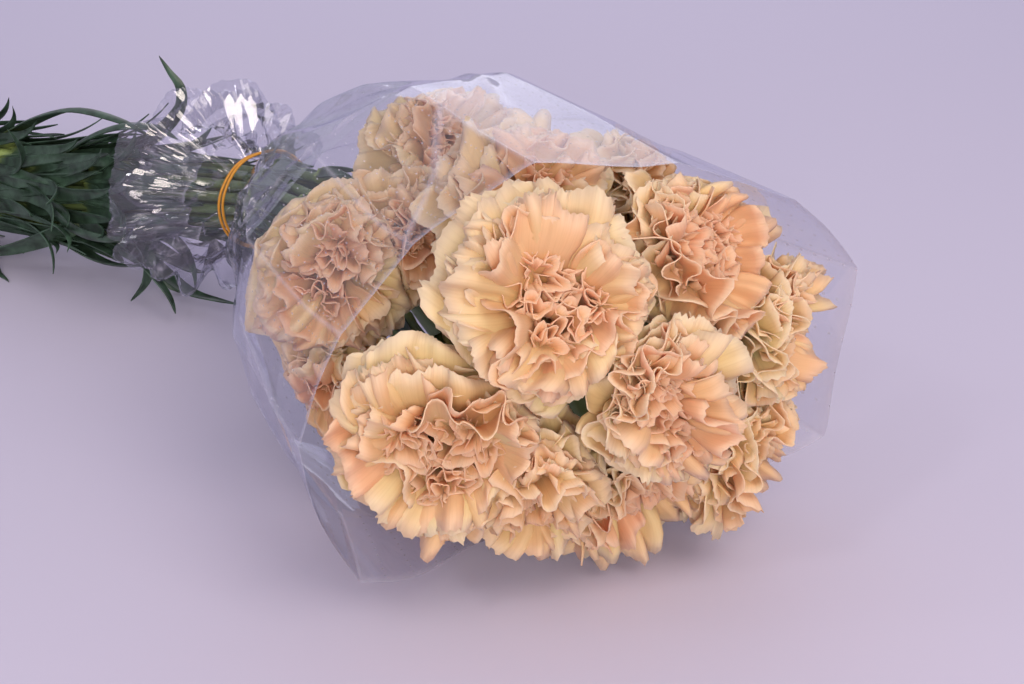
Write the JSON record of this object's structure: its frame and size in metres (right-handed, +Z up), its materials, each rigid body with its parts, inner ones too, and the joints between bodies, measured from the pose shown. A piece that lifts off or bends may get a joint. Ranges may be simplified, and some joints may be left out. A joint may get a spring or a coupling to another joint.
{
  "type": "bunch of carnations",
  "caption": "Bunch of carnations lying on its side, its leafy stems gathered by a rubber band in a clear film sleeve that the near blooms hang out of.",
  "frame": {"origin": "on the table, in the flat underside of the film sleeve below the heads", "axes": "+Z up from the table, +X along the bunch from the cut ends towards the heads, +Y to the far side"},
  "size_m": [0.6444, 0.2626, 0.1606],
  "materials": {
    "petal": "fresh carnation petals: soft, thin and matt, cream at the guard petals and peach at the heart",
    "stem": "fresh carnation stems, leaves and calyces: grey-green with a waxy bloom",
    "film": "clear thin polypropylene film: glossy, with soft creases",
    "rubber": "tan natural rubber band, satin"
  },
  "bodies": {
    "root": {"stem_01": "stem", "bloom_01": "petal", "stem_02": "stem", "bloom_02": "petal", "stem_03": "stem", "bloom_03": "petal", "stem_04": "stem", "bloom_04": "petal", "stem_05": "stem", "bloom_05": "petal", "stem_06": "stem", "bloom_06": "petal", "stem_07": "stem", "bloom_07": "petal", "stem_08": "stem", "bloom_08": "petal", "stem_09": "stem", "bloom_09": "petal", "stem_10": "stem", "bloom_10": "petal", "stem_11": "stem", "bloom_11": "petal", "stem_12": "stem", "bloom_12": "petal", "stem_13": "stem", "bloom_13": "petal", "stem_14": "stem", "bloom_14": "petal", "stem_15": "stem", "bloom_15": "petal", "stem_16": "stem", "bloom_16": "petal", "stem_17": "stem", "bloom_17": "petal", "stem_18": "stem", "bloom_18": "petal", "stem_19": "stem", "bloom_19": "petal", "stem_20": "stem", "bloom_20": "petal", "sleeve": "film", "band": "rubber"}
  },
  "joints": []
}
